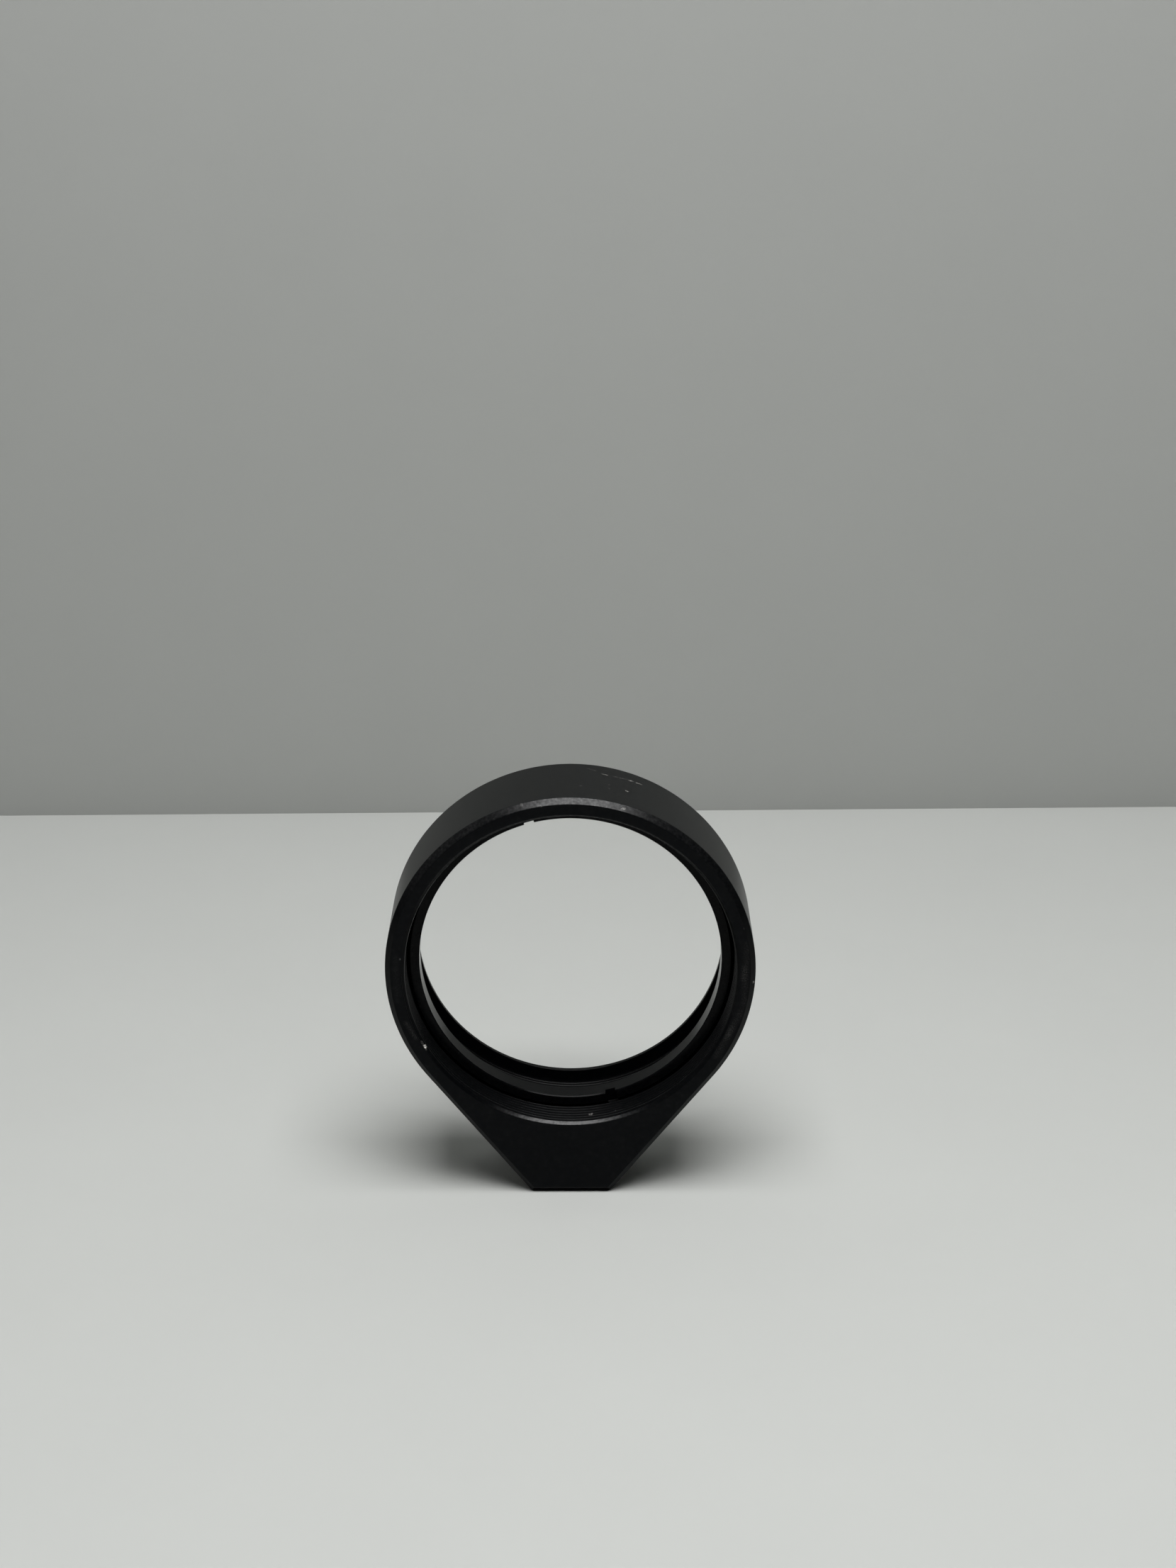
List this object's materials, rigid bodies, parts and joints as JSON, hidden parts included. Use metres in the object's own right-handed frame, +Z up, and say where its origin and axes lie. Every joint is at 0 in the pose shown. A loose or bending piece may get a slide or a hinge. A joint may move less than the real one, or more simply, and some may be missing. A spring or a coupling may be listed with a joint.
{
  "type": "optical lens mount",
  "caption": "Fixed ring mount that clamps a round lens on a thin lip with a screwed retaining ring, on a tapered foot with a tapped hole for a post.",
  "frame": {"origin": "middle of the foot's flat bottom face", "axes": "+Z up through the rim, +Y along the optical axis from the front face to the back, +X to the right seen from the front"},
  "size_m": [0.0428, 0.0126, 0.0499],
  "materials": {
    "anodised_body": "satin black anodised",
    "anodised_ring": "satin black anodised"
  },
  "bodies": {
    "mount": {"mount_body": "anodised_body"},
    "ring": {"retaining_ring": "anodised_ring"}
  },
  "joints": [
    {"name": "ring_screw", "type": "slide", "parent": "mount", "child": "ring", "axis": [0, -1, 0], "range_m": [-0.0057, 0.0127]}
  ]
}
